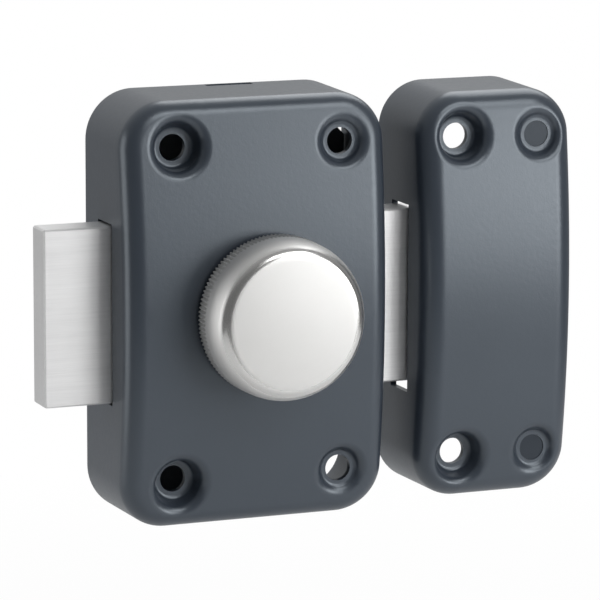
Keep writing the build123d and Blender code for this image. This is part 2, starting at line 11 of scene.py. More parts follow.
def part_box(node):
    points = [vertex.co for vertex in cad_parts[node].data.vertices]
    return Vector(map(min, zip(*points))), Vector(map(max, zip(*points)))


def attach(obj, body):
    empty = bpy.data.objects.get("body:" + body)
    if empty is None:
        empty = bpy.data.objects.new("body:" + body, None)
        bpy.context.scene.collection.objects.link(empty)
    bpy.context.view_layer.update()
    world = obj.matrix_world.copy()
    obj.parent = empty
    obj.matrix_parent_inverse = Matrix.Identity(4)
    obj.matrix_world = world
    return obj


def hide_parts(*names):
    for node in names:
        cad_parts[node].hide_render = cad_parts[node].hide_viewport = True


bl_info = {
    "name": "Rim Deadbolt",
    "version": (1, 0, 0),
    "blender": (4, 5, 0),
    "location": "3D View > Sidebar > Rim Deadbolt",
    "description": "Builds the covers, knob, finishes and studio of a rim deadbolt",
    "category": "Object",
}

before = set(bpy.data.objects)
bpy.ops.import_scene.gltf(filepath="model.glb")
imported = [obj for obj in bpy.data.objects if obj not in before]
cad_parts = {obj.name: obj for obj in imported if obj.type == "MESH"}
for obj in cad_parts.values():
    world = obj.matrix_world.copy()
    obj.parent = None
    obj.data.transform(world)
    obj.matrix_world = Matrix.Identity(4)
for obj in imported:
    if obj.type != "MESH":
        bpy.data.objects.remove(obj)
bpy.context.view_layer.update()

MM = 0.001
# Points closer than WELD are merged, and RIM_ROOM stays free round a dimple. An edge sharper
# than CREASE stays sharp, and FAR lies past every face of the lock.
WELD = 1e-7
RIM_ROOM = 0.6 * MM
CREASE = math.radians(38)
FAR = 1.0

CASE_LOW, CASE_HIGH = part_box("lock_case")
KEEPER_LOW, KEEPER_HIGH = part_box("keeper_case")
BOLT_LOW, BOLT_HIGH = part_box("bolt_bar")
KNOB_LOW, KNOB_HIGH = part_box("knob")
PLATE_LOW, PLATE_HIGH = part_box("back_plate")


def length(name, description, default):
    """Property for a length in metres."""
    return FloatProperty(
        name=name, description=description, default=default, min=0.0, precision=5, subtype="DISTANCE",
        unit="LENGTH",
    )


def turning(name, description, default):
    """Property for an angle whose default is given in degrees."""
    return FloatProperty(
        name=name, description=description, default=math.radians(default), precision=4, subtype="ANGLE",
        unit="ROTATION",
    )


def colour(name, description, default):
    """Property for a linear colour."""
    return FloatVectorProperty(
        name=name, description=description, default=default, size=3, min=0.0, max=1.0, subtype="COLOR"
    )


class CoverSizes(bpy.types.PropertyGroup):
    """Sizes of the two pressed covers."""

    wall: length("Wall", "Thickness of the pressed sheet", 1.5 * MM)
    draft: turning("Draft", "Lean of the side walls", 1.0)
    case_corner: length("Case corner", "Corner radius of the case at the door", 11.5 * MM)
    case_edge: length("Case edge", "Radius of the case's front edge", 4.4 * MM)
    case_crown: length("Case crown", "How far the case's front drops towards its ends", 4.5 * MM)
    keeper_corner: length("Keeper corner", "Corner radius of the keeper at the door", 11.1 * MM)
    keeper_edge: length("Keeper edge", "Radius of the keeper's front edge", 5.0 * MM)
    keeper_crown: length("Keeper crown", "How far the keeper's front drops towards its ends", 4.4 * MM)
    hole: length("Screw hole", "Radius of the screw holes", 3.1 * MM)
    lip: length("Dimple lip", "Radius at which a dimple rolls over from the face", 2.6 * MM)
    foot: length("Dimple foot", "Radius at which a dimple's wall meets its floor", 1.0 * MM)
    deep_depth: length("Deep dimple", "Depth of the deep dimples", 5.2 * MM)
    deep_radius: length("Deep dimple rim", "Rim radius of the deep dimples", 8.0 * MM)
    deep_slope: turning("Deep slope", "Slope of a deep dimple's wall", 78.0)
    shallow_depth: length("Shallow dimple", "Depth of the shallow dimples", 2.0 * MM)
    shallow_radius: length("Shallow dimple rim", "Rim radius of the shallow dimples", 7.0 * MM)
    shallow_slope: turning("Shallow slope", "Slope of a shallow dimple's wall", 58.0)
    bolt_play: length("Bolt play", "Gap between the bolt and the case's mouths", 0.5 * MM)
    mouth_above: length("Keeper mouth above", "Gap above the bolt in the keeper's mouth", 0.9 * MM)
    mouth_below: length("Keeper mouth below", "Gap below the bolt in the keeper's mouth", 2.6 * MM)
    mouth_front: length("Keeper mouth front", "Gap in front of the bolt in the keeper's mouth", 0.9 * MM)
    tongue_play: length("Tongue play", "Gap round the back plate's tongue in its slot", 0.15 * MM)
    tongue_half: length("Tongue half width", "Half the width of the back plate's tongue", 5.6 * MM)
    tongue_middle: length("Tongue middle", "Place of the tongue along X", 2.1 * MM)


class KnobSizes(bpy.types.PropertyGroup):
    """Sizes of the turn knob."""

    teeth: IntProperty(name="Knurl teeth", description="Teeth round the skirt", default=120, min=12)
    knurl_height: length("Knurl height", "Height of the knurled skirt", 4.7 * MM)
    knurl_depth: length("Knurl depth", "Depth of the grooves", 0.55 * MM)
    knurl_runout: length("Knurl run-out", "Length over which the grooves end", 0.9 * MM)
    body_step: length("Body step", "How much smaller the smooth body is than the knurl", 0.12 * MM)
    shoulder_run: length("Shoulder run", "Width of the rounded shoulder", 3.4 * MM)
    shoulder_rise: length("Shoulder rise", "Height of the rounded shoulder", 6.0 * MM)
    dome: length("Dome", "Rise of the face at its middle", 0.6 * MM)
    rim_wall: length("Rim wall", "Wall of the hollow rim", 2.4 * MM)
    cavity: length("Cavity", "Depth of the hollow back", 9.2 * MM)
    hub: length("Hub", "Radius of the hub", 7.5 * MM)
    bore: length("Bore", "Radius of the bore for the spindle", 3.52 * MM)
    bore_depth: length("Bore depth", "Depth of the bore", 8.65 * MM)


class FinishColours(bpy.types.PropertyGroup):
    """Colours of the finishes."""

    paint: colour("Paint", "Satin powder coat of the covers", (0.038, 0.048, 0.064))
    # The plugs' coat is darker than the covers' paint as painted shade of the shallow dimples they sit in.
    plug_paint: colour("Plug paint", "Coat of the keeper's plugs", (0.030, 0.037, 0.048))
    bolt: colour("Bolt", "Ground steel of the bolt", (0.88, 0.88, 0.885))
    nickel: colour("Nickel", "Satin nickel of the knob", (0.76, 0.757, 0.745))
    zinc: colour("Zinc", "Zinc plate of the hidden sheet parts", (0.60, 0.62, 0.65))
    dark_steel: colour("Dark steel", "Hardened spring steel", (0.30, 0.31, 0.33))
    machined: colour("Machined steel", "Spindle and rack", (0.55, 0.55, 0.56))
    brass: colour("Brass", "Bushes and washers", (0.78, 0.58, 0.28))


class StudioSettings(bpy.types.PropertyGroup):
    """Camera and floor."""

    azimuth: turning("Azimuth", "Camera's turn about Z", 22.066)
    elevation: turning("Elevation", "Camera's look down", 10.524)
    roll: turning("Roll", "Camera's roll", 0.2185)
    distance: length("Distance", "Camera's distance from its target", 961.517 * MM)
    target_x: length("Target X", "Camera's target along X", 20.9157 * MM)
    target_drop: length("Target drop", "Camera's target below the case's middle", 2.8229 * MM)
    lens: FloatProperty(name="Lens", description="Focal length in millimetres", default=242.402)
    floor_drop: length("Floor drop", "Gap between the lock and the floor", 70.0 * MM)
    floor_size: length("Floor size", "Length of the floor's sides", 800.0 * MM)


class Cover:
    """A pressed cover: its place, its crowned front and the way its sheet folds over the edge."""

    def __init__(self, low, high, corner, edge, crown, sizes):
        self.depth = high[1] - low[1]
        height = high[2] - low[2]
        self.arc = ((height / 2) ** 2 + crown**2) / (2 * crown)
        loss = self.depth * math.tan(sizes.draft) + edge * math.tan((math.pi / 2 - sizes.draft) / 2)
        self.half = np.array([(high[0] - low[0]) / 2 - loss, height / 2 - loss])
        self.radius = corner - loss
        self.corner = self.half - self.radius
        self.middle = np.array([(low[0] + high[0]) / 2, (low[2] + high[2]) / 2])
        self.edge = edge
        self.draft = sizes.draft
        self.full_turn = math.pi / 2 - sizes.draft

    def front(self, up):
        """Height of the crowned front, part of a cylinder along X, at a distance from its middle."""
        return self.depth - self.arc + np.sqrt(self.arc**2 - up**2)

    def bend(self, foot, way):
        """What the fold needs where the flat front's outline has this foot and this way out.

        The lean of the crown along the way out, the run that the front goes on beyond the
        outline, and the run at which the bend ends. The front reaches further where it
        leans, since the bend then starts later, and where it is lower, for the draft.
        """
        lean = way[..., 1] * np.arcsin(foot[..., 1] / self.arc)
        ahead = self.edge * np.sin(lean) + (self.depth - self.front(foot[..., 1])) * math.tan(self.draft)
        return lean, ahead, ahead + self.edge * (self.full_turn - lean)

    def wall_run(self, foot, way, height):
        """Run at which the side wall reaches a height."""
        lean, ahead, bent = self.bend(foot, way)
        start = self.front(foot[..., 1] + way[..., 1] * ahead)
        wall_top = start - self.edge * (np.cos(lean) - math.cos(self.full_turn))
        return bent + (wall_top - height) / math.cos(self.draft)

    def fold(self, sheet):
        """Folds points of the flat sheet over the edge, and returns their plan and height.

        A point past the front's rounded outline lies beyond it by a run. The run first
        follows the crown, then an arc of the edge radius that starts at the crown's lean,
        and last a straight wall that leans outwards by the draft.
        """
        past = np.maximum(np.abs(sheet) - self.corner, 0.0)
        reach = np.maximum(np.hypot(past[..., 0], past[..., 1]), WELD)
        way = past / reach[..., None]
        inner = np.minimum(np.abs(sheet), self.corner)
        lean, ahead, bent = self.bend(inner + way * self.radius, way)
        run = np.maximum(reach - self.radius, 0.0)
        turn = lean + np.clip((run - ahead) / self.edge, 0.0, self.full_turn - lean)
        straight = np.maximum(run - bent, 0.0)
        level = np.minimum(reach, self.radius) + np.minimum(run, ahead)
        out = self.edge * (np.sin(turn) - np.sin(lean)) + straight * math.sin(self.draft)
        drop = self.edge * (np.cos(lean) - np.cos(turn)) + straight * math.cos(self.draft)
        side = np.where(sheet < 0, -1.0, 1.0)
        plan = side * (inner + way * (level + out)[..., None])
        return plan, self.front(inner[..., 1] + way[..., 1] * level) - drop

    def place(self, plan, height):
        """Points in the model's frame from plan positions about the cover's middle and heights."""
        return np.stack([plan[..., 0] + self.middle[0], -height, plan[..., 1] + self.middle[1]], axis=-1)


def dimple_profile(sizes, depth, radius, slope):
    """Radius and drop of a dimple from its hole to its rim.

    A flat floor, an arc of the foot radius up to the wall's slope, a straight wall and
    an arc of the lip radius that ends level with the face.
    """
    arcs = sizes.lip + sizes.foot
    wall_run = (depth - arcs * (1 - math.cos(slope))) / math.tan(slope)
    lip_foot = radius - sizes.lip * math.sin(slope)
    wall_foot = lip_foot - wall_run
    floor_edge = wall_foot - sizes.foot * math.sin(slope)
    foot_turn = np.linspace(0, slope, 7)
    lip_turn = np.linspace(slope, 0, 11)
    floor_radii = np.linspace(sizes.hole, floor_edge, 3)[:-1]
    radii = np.concatenate(
        [floor_radii, floor_edge + sizes.foot * np.sin(foot_turn), radius - sizes.lip * np.sin(lip_turn)]
    )
    drops = np.concatenate(
        [
            np.full(len(floor_radii), depth),
            depth - sizes.foot * (1 - np.cos(foot_turn)),
            sizes.lip * (1 - np.cos(lip_turn)),
        ]
    )
    return radii, drops


def steps(*stops):
    """Values from stop to stop: pairs of a stop and how many cells lead up to it."""
    values = [np.array([stops[0]])]
    for (end, cells), start in zip(stops[1:], [stops[0]] + [stop for stop, _ in stops[1:-1]]):
        values.append(np.linspace(start, end, cells + 1)[1:])
    return np.concatenate(values)


def grid_faces(rows, columns, closed):
    """Quads of a grid whose columns may close on themselves, as rows of four indices."""
    row, column = np.indices((rows - 1, columns if closed else columns - 1))
    near = row * columns
    far = near + columns
    following = (column + 1) % columns
    return np.stack([near + column, near + following, far + following, far + column], axis=-1).reshape(-1, 4)


def quarter_sheet(cover, sizes, quarter, heights, cells):
    """One quarter of a cover's outer sheet: the front round its dimple and the skirt beside it.

    The front is a grid of rings, from the hole's circle to the quarter's outline, which
    runs along both middle lines and round the corner, and bulges where the dimple comes
    close to it. A ring's point is the rim's point moved towards the outline's by a
    share, straight away from the hole, so that no two rings cross. The skirt continues
    the outline's points square to it, over the edge and down the wall, with a row at each
    of the heights. A dimple stands square to the crown and its floor square to the door:
    a ring's place moves outwards and its height fades from the floor's to the crown's as
    its drop shrinks.
    """
    side, end, hole, (radii, drops), side_stop, end_stop = quarter
    up_side = steps(0.0, (side_stop, 12), (cover.corner[1], 18))
    round_turn = np.linspace(0, math.pi / 2, 19)[1:-1]
    along_end = steps(cover.corner[0], (end_stop, 14), (0.0, 6))
    round_way = np.stack([np.cos(round_turn), np.sin(round_turn)], axis=-1)
    foot = np.concatenate(
        [
            np.stack([np.full_like(up_side, cover.half[0]), up_side], axis=-1),
            cover.corner + cover.radius * round_way,
            np.stack([along_end, np.full_like(along_end, cover.half[1])], axis=-1),
        ]
    )
    way = np.concatenate(
        [np.tile([1.0, 0.0], (len(up_side), 1)), round_way, np.tile([0.0, 1.0], (len(along_end), 1))]
    )
    deepest = drops.max()
    lean = math.asin(hole[1] / (cover.arc - deepest))
    rim = hole + np.array([0.0, deepest * math.sin(lean)])
    floor_top = cover.depth - cover.arc + (cover.arc - deepest) * math.cos(lean) + deepest
    bulge = np.clip(radii[-1] + RIM_ROOM - np.hypot(*(foot - rim).T), 0.0, None)
    outline = foot + way * bulge[:, None]
    across = np.linspace([0.0, 0.0], outline[0], 15)[:-1]
    upwards = np.linspace(outline[-1], [0.0, 0.0], 21)[1:-1]
    ring_end = np.concatenate([across, outline, upwards])
    from_rim = ring_end - rim
    circle = from_rim / np.hypot(*from_rim.T)[:, None]
    shift = (rim - hole) * (1 - drops / deepest)[:, None]
    inside = (hole + shift)[:, None, :] + radii[:, None, None] * circle
    share = np.linspace(0, 1, 17)[1:, None, None] ** 1.5
    outside = (rim + radii[-1] * circle) * (1 - share) + ring_end * share
    sheet = np.concatenate([inside, outside])
    plan, height = cover.fold(sheet)
    sunk = np.concatenate([drops, np.zeros(len(share))])[:, None]
    height = floor_top - sunk - (floor_top - height) * (1 - sunk / deepest)
    front = cover.place(plan * (side, end), height)
    front_faces = grid_faces(*sheet.shape[:2], closed=True)
    stops = [cover.bend(foot, way)[2]] + [cover.wall_run(foot, way, level) for level in heights]
    runs = steps(bulge, *zip(stops, (14, *cells)))
    skirt_plan, skirt_height = cover.fold(foot + way * runs[..., None])
    skirt = cover.place(skirt_plan * (side, end), skirt_height)
    skirt_faces = grid_faces(*skirt_height.shape, closed=False) + front_faces.max() + 1
    points = np.concatenate([front.reshape(-1, 3), skirt.reshape(-1, 3)])
    faces = np.concatenate([front_faces, skirt_faces])
    return points, faces if side * end < 0 else faces[:, ::-1]


def weld(patches):
    """Joins patches of points and quads, and merges points that meet."""
    counts = np.cumsum([0] + [len(points) for points, _ in patches])
    points = np.concatenate([points for points, _ in patches])
    faces = np.concatenate([faces + start for (_, faces), start in zip(patches, counts)])
    cells = np.round(points / WELD).astype(np.int64)
    _, first, index = np.unique(cells, axis=0, return_index=True, return_inverse=True)
    return points[first], index.reshape(-1)[faces]


def point_normals(points, faces):
    """Unit normal of each point: the sum of the cross products of its quads' diagonals."""
    corners = points[faces]
    normal = np.cross(corners[:, 2] - corners[:, 0], corners[:, 3] - corners[:, 1])
    total = np.zeros_like(points)
    for column in range(4):
        np.add.at(total, faces[:, column], normal)
    return total / np.linalg.norm(total, axis=1, keepdims=True)


def thicken(points, faces, kept, wall):
    """Closed shell from a sheet: the sheet, its parallel inside, and a strip along every open edge.

    The inside is the sheet moved back along its normals by the wall, and points on the
    door's plane stay on it. Only the kept quads are used, so a mouth is a set left out.
    """
    inner = points - wall * point_normals(points, faces)
    inner[:, 1] = np.minimum(np.where(points[:, 1] > -WELD, 0.0, inner[:, 1]), 0.0)
    faces = faces[kept]
    start = np.concatenate([faces[:, side] for side in range(4)])
    finish = np.concatenate([faces[:, (side + 1) % 4] for side in range(4)])
    count = len(points)
    open_edge = ~np.isin(start * count + finish, finish * count + start)
    start, finish = start[open_edge], finish[open_edge]
    strip = np.stack([finish, start, start + count, finish + count], axis=-1)
    return np.concatenate([points, inner]), np.concatenate([faces, faces[:, ::-1] + count, strip])


def make_piece(name, points, faces, body, node, crease):
    """Mesh object from arrays, smooth but for edges sharper than the crease, in place of a node."""
    mesh = bpy.data.meshes.new(name)
    used, index = np.unique(faces, return_inverse=True)
    corners = [tuple(dict.fromkeys(row)) for row in index.reshape(faces.shape).tolist()]
    mesh.from_pydata(points[used].tolist(), [], corners)
    mesh.validate()
    mesh.shade_smooth()
    mesh.set_sharp_from_angle(angle=crease)
    piece = bpy.data.objects.new(name, mesh)
    bpy.context.scene.collection.objects.link(piece)
    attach(piece, body)
    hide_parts(node)
    return piece


def mouth(points, faces, low, high):
    """True for each quad whose middle lies in a box."""
    middle = points[faces].mean(axis=1)
    return np.all((middle > low) & (middle < high), axis=1)


def build_cover(name, cover, sizes, quarters, heights, cells, openings, node):
    """Welds four quarters of a cover, cuts its openings and gives it its wall."""
    points, faces = weld([quarter_sheet(cover, sizes, quarter, heights, cells) for quarter in quarters])
    cut = np.zeros(len(faces), bool)
    for low, high in openings:
        cut |= mouth(points, faces, low, high)
    points, faces = thicken(points, faces, ~cut, sizes.wall)
    piece = make_piece(name, points, faces, "root", node, CREASE)
    return piece


class LOCK_OT_case(bpy.types.Operator):
    """Build the lock case as a pressed sheet with four dimples, two bolt mouths and a slot"""

    bl_idname = "lock.case"
    bl_label = "Lock Case"

    def execute(self, context):
        sizes = context.scene.lock_covers
        cover = Cover(CASE_LOW, CASE_HIGH, sizes.case_corner, sizes.case_edge, sizes.case_crown, sizes)
        deep_hole = np.array([18.9, 38.7]) * MM
        shallow_hole = np.array([21.1, 38.7]) * MM
        deep = dimple_profile(sizes, sizes.deep_depth, sizes.deep_radius, sizes.deep_slope)
        shallow = dimple_profile(sizes, sizes.shallow_depth, sizes.shallow_radius, sizes.shallow_slope)
        mouth_edge = BOLT_HIGH[2] + sizes.bolt_play
        tongue_reach = sizes.tongue_half + sizes.tongue_play
        quarters = [
            (-1, 1, deep_hole, deep, mouth_edge, tongue_reach - sizes.tongue_middle),
            (-1, -1, deep_hole, deep, mouth_edge, tongue_reach),
            (1, 1, shallow_hole, shallow, mouth_edge, tongue_reach + sizes.tongue_middle),
            (1, -1, shallow_hole, shallow, mouth_edge, tongue_reach),
        ]
        mouth_front = -BOLT_LOW[1] + sizes.bolt_play
        mouth_back = -BOLT_HIGH[1] - sizes.bolt_play
        slot_front = -PLATE_LOW[1] + 2 * sizes.tongue_play
        slot_back = -PLATE_HIGH[1] - sizes.tongue_play
        heights = (mouth_front, mouth_back, slot_front, slot_back, 0.0)
        openings = [
            ((-FAR, -mouth_front, -mouth_edge), (FAR, -mouth_back, mouth_edge)),
            (
                (sizes.tongue_middle - tongue_reach, -slot_front, 0.0),
                (sizes.tongue_middle + tongue_reach, -slot_back, FAR),
            ),
        ]
        piece = build_cover(
            "case_cover", cover, sizes, quarters, heights, (2, 4, 3, 1, 1), openings, "lock_case"
        )
        piece.data.materials.append(paint_finish("case_paint", context.scene.lock_finishes.paint))
        return {"FINISHED"}


class LOCK_OT_keeper(bpy.types.Operator):
    """Build the keeper as a pressed sheet with four dimples and a mouth for the bolt"""

    bl_idname = "lock.keeper"
    bl_label = "Keeper"

    def execute(self, context):
        sizes = context.scene.lock_covers
        cover = Cover(
            KEEPER_LOW, KEEPER_HIGH, sizes.keeper_corner, sizes.keeper_edge, sizes.keeper_crown, sizes
        )
        open_hole = np.array([8.9, 37.8]) * MM
        plugged_hole = np.array([10.5, 37.8]) * MM
        deep = dimple_profile(sizes, sizes.deep_depth, sizes.deep_radius, sizes.deep_slope)
        shallow = dimple_profile(sizes, sizes.shallow_depth, sizes.shallow_radius, sizes.shallow_slope)
        top = BOLT_HIGH[2] + sizes.mouth_above
        bottom = -BOLT_LOW[2] + sizes.mouth_below
        plain_stop = 4.0 * MM
        quarters = [
            (-1, 1, open_hole, deep, top, plain_stop),
            (-1, -1, open_hole, deep, bottom, plain_stop),
            (1, 1, plugged_hole, shallow, top, plain_stop),
            (1, -1, plugged_hole, shallow, bottom, plain_stop),
        ]
        mouth_front = -BOLT_LOW[1] + sizes.mouth_front
        mouth_back = -BOLT_HIGH[1] - sizes.bolt_play
        openings = [((-FAR, -mouth_front, -bottom), (cover.middle[0], -mouth_back, top))]
        piece = build_cover(
            "keeper_cover", cover, sizes, quarters, (mouth_front, mouth_back, 0.0), (2, 4, 4), openings,
            "keeper_case",
        )
        piece.data.materials.append(paint_finish("keeper_paint", context.scene.lock_finishes.paint))
        return {"FINISHED"}


def knob_profile(sizes, radius, foot, top):
    """Radius, height and share of knurl along the knob's section, from its middle round to its bore.

    The face is an arc about the axis, the shoulder a quarter ellipse, and the body a
    straight wall down to the knurl, whose grooves fade out over the run-out.
    """
    body = radius - sizes.body_step
    face = body - sizes.shoulder_run
    shoulder_top = top - sizes.dome
    shoulder_foot = shoulder_top - sizes.shoulder_rise
    knurl_top = foot + sizes.knurl_height
    face_radii = np.linspace(0, face, 16)
    shoulder_turn = np.linspace(math.pi / 2, 0, 22)[1:]
    bevel = 0.25 * MM
    groove_top = knurl_top - sizes.knurl_runout
    cavity_edge = body - sizes.rim_wall
    roof = foot + sizes.cavity
    bore_roof = foot + sizes.bore_depth
    parts = [
        (face_radii, top - sizes.dome * (face_radii / face) ** 2, 0.0),
        (
            face + sizes.shoulder_run * np.cos(shoulder_turn),
            shoulder_foot + sizes.shoulder_rise * np.sin(shoulder_turn),
            0.0,
        ),
        (body, [(shoulder_foot + knurl_top) / 2, knurl_top], 0.0),
        (body, np.linspace(knurl_top, groove_top, 5)[1:], np.linspace(0, 1, 5)[1:]),
        (body, np.linspace(groove_top, foot + bevel, 6)[1:], 1.0),
        (body - bevel, [foot], 0.6),
        (cavity_edge, [foot, roof], 0.0),
        (sizes.hub, [roof, foot], 0.0),
        (sizes.bore, [foot, bore_roof], 0.0),
        (0.0, [bore_roof], 0.0),
    ]
    rows = [np.stack(np.broadcast_arrays(*part), axis=-1) for part in parts]
    return np.concatenate(rows).T


class LOCK_OT_knob(bpy.types.Operator):
    """Turn the knob with its knurled skirt, rounded shoulder and slightly domed face"""

    bl_idname = "lock.knob"
    bl_label = "Knob"

    def execute(self, context):
        sizes = context.scene.lock_knob
        middle = (KNOB_LOW + KNOB_HIGH) / 2
        radius = (KNOB_HIGH[0] - KNOB_LOW[0]) / 2
        radii, heights, knurl = knob_profile(sizes, radius, -KNOB_HIGH[1], -KNOB_LOW[1])
        samples = 6
        columns = sizes.teeth * samples
        angle = np.arange(columns) * 2 * math.pi / columns
        crest = np.clip(np.abs(((np.arange(columns) / samples) % 1) * 2 - 1) * 1.5 - 0.25, 0, 1)
        groove = np.clip(knurl[:, None] - crest, 0, 1)
        ring = radii[:, None] + sizes.body_step * knurl[:, None] - sizes.knurl_depth * groove
        points = np.stack(
            [
                middle[0] + ring * np.cos(angle),
                np.broadcast_to(-heights[:, None], ring.shape),
                middle[2] + ring * np.sin(angle),
            ],
            axis=-1,
        )
        points, faces = weld([(points.reshape(-1, 3), grid_faces(*ring.shape, closed=True)[:, ::-1])])
        piece = make_piece("turn_knob", points, faces, "knob", "knob", CREASE)
        face = radius - sizes.body_step - sizes.shoulder_run
        finish = nickel_finish("satin_nickel", context.scene.lock_finishes.nickel, middle, face)
        piece.data.materials.append(finish)
        return {"FINISHED"}


class Value:
    """A shader socket that can be used in sums."""

    def __init__(self, graph, socket):
        self.graph = graph
        self.socket = socket

    def _math(self, operation, *others):
        """Math node of this operation on the value and the others."""
        node = self.graph.node("ShaderNodeMath", {"operation": operation}, dict(enumerate((self, *others))))
        return self.graph.value(node, 0)

    def __add__(self, other):
        return self._math("ADD", other)

    __radd__ = __add__

    def __mul__(self, other):
        return self._math("MULTIPLY", other)

    __rmul__ = __mul__

    def __sub__(self, other):
        return self._math("SUBTRACT", other)

    def __rsub__(self, other):
        return (self * -1.0) + other

    def __truediv__(self, other):
        return self._math("DIVIDE", other)

    def __pow__(self, other):
        return self._math("POWER", other)


class Graph:
    """Node tree of a material or a world."""

    def __init__(self, owner):
        owner.use_nodes = True
        self.tree = owner.node_tree
        self.tree.nodes.clear()

    def node(self, kind, settings=None, sockets=None):
        """Adds a node, sets its settings first and then its sockets' values or links."""
        node = self.tree.nodes.new(kind)
        for name, value in (settings or {}).items():
            if name == "stops":
                ramp = node.color_ramp
                while len(ramp.elements) < len(value):
                    ramp.elements.new(0.5)
                for element, (position, tone) in zip(ramp.elements, value):
                    element.position = position
                    element.color = (*tone, 1.0) if isinstance(tone, tuple) else (tone, tone, tone, 1.0)
            else:
                setattr(node, name, value)
        for key, value in (sockets or {}).items():
            socket = node.inputs[key]
            if isinstance(value, Value):
                self.tree.links.new(value.socket, socket)
            elif socket.type == "RGBA" and len(value) == 3:
                socket.default_value = (*value, 1.0)
            else:
                socket.default_value = value
        return node

    def value(self, node, output):
        """One of a node's outputs."""
        return Value(self, node.outputs[output])

    def place(self, scale=(1.0, 1.0, 1.0), location=(0.0, 0.0, 0.0)):
        """Object coordinates, scaled and moved."""
        source = self.value(self.node("ShaderNodeTexCoord"), "Object")
        sockets = {"Vector": source, "Location": location, "Scale": scale}
        return self.value(self.node("ShaderNodeMapping", {"vector_type": "POINT"}, sockets), "Vector")

    def noise(self, vector, scale, detail=2.0, roughness=0.5):
        """Noise of a size, as a value about one half."""
        sockets = {"Vector": vector, "Scale": scale, "Detail": detail, "Roughness": roughness}
        return self.value(self.node("ShaderNodeTexNoise", {}, sockets), "Fac")

    def ramp(self, value, stops):
        """Value or colour from stops of position and tone."""
        return self.value(self.node("ShaderNodeValToRGB", {"stops": stops}, {"Fac": value}), "Color")

    def blend(self, share, first, second):
        """Colour between two, by a share."""
        node = self.node("ShaderNodeMix", {"data_type": "RGBA"}, {0: share, 6: first, 7: second})
        return self.value(node, 2)

    def bump(self, height, distance, strength):
        """Normal from a height."""
        sockets = {"Height": height, "Distance": distance, "Strength": strength}
        return self.value(self.node("ShaderNodeBump", {}, sockets), "Normal")

    def finish(self, **sockets):
        """Principled surface with these sockets, joined to the output."""
        names = {name.replace("_", " "): value for name, value in sockets.items()}
        shader = self.node("ShaderNodeBsdfPrincipled", {}, names)
        self.node("ShaderNodeOutputMaterial", {}, {"Surface": self.value(shader, "BSDF")})


def tone(base, share):
    """Colour scaled by a share."""
    return tuple(min(1.0, channel * share) for channel in base)


def paint_finish(name, base, shine=1.0):
    """Satin powder coat: even colour with faint clouds, and the fine peel of baked powder."""
    material = bpy.data.materials.new(name)
    graph = Graph(material)
    place = graph.place()
    clouds = graph.noise(place, 35.0, 3.0)
    fine = graph.noise(place, 900.0, 2.0, 0.6)
    grain = graph.noise(place, 2600.0, 1.0)
    peel = graph.bump(fine + grain * 0.5, 0.00003, 0.55)
    graph.finish(
        Base_Color=graph.blend(clouds, tone(base, 0.9), tone(base, 1.1)),
        Roughness=fine * 0.08 + 0.27,
        Normal=peel,
        Specular_IOR_Level=shine,
        Specular_Tint=(0.85, 0.93, 1.0),
    )
    return material


# Roughness of the nickel by its distance from the axis, where 0.5 is the rim of the face.
KNOB_DULLNESS = ((0.47, 0.52), (0.51, 0.21), (0.555, 0.21), (0.585, 0.58))


def nickel_finish(name, base, middle, face):
    """Satin nickel: fine turned rings about the axis, dull on the face and side, clear on the shoulder."""
    material = bpy.data.materials.new(name)
    graph = Graph(material)
    place = graph.place(location=(-middle[0], 0.0, -middle[2]))
    split = graph.node("ShaderNodeSeparateXYZ", {}, {"Vector": place})
    across, along, up = (graph.value(split, axis) for axis in ("X", "Y", "Z"))
    radius = (across * across + up * up) ** 0.5
    ring_place = graph.value(graph.node("ShaderNodeCombineXYZ", {}, {"X": radius, "Y": along}), "Vector")
    rings = graph.noise(ring_place, 2600.0, 2.0, 0.6)
    satin = graph.noise(graph.place(), 1500.0, 2.0)
    clouds = graph.noise(graph.place(), 60.0, 2.0)
    dull = graph.ramp(radius / face * 0.5, KNOB_DULLNESS)
    graph.finish(
        Base_Color=graph.blend(clouds, tone(base, 0.97), tone(base, 1.02)),
        Metallic=1.0,
        Roughness=rings * 0.06 + satin * 0.04 + dull - 0.05,
        Normal=graph.bump(rings * 0.6 + satin * 0.4, 0.000004, 0.5),
    )
    return material


def ground_finish(name, base, along, roughness, depth):
    """Ground steel: long fine scratches along one axis, and a few broader ones."""
    material = bpy.data.materials.new(name)
    graph = Graph(material)
    stretch = [1.0, 1.0, 1.0]
    stretch["XYZ".index(along)] = 0.02
    fine = graph.noise(graph.place(scale=stretch), 6000.0, 2.0, 0.7)
    broad = graph.noise(graph.place(scale=stretch), 1400.0, 2.0, 0.6)
    clouds = graph.noise(graph.place(), 90.0, 2.0)
    scratches = fine * 0.6 + broad * 0.4
    graph.finish(
        Base_Color=graph.blend(scratches * 0.7 + clouds * 0.3, tone(base, 0.80), tone(base, 1.15)),
        Metallic=1.0,
        Roughness=scratches * 0.12 + roughness - 0.06,
        Normal=graph.bump(scratches, depth, 0.7),
    )
    return material


def plated_finish(name, base, roughness):
    """Plated or machined metal: a faint grain and uneven sheen."""
    material = bpy.data.materials.new(name)
    graph = Graph(material)
    place = graph.place()
    grain = graph.noise(place, 1800.0, 3.0, 0.6)
    clouds = graph.noise(place, 120.0, 3.0)
    graph.finish(
        Base_Color=graph.blend(clouds, tone(base, 0.88), tone(base, 1.08)),
        Metallic=1.0,
        Roughness=clouds * 0.15 + grain * 0.08 + (roughness - 0.1),
        Normal=graph.bump(grain, 0.00001, 0.4),
    )
    return material


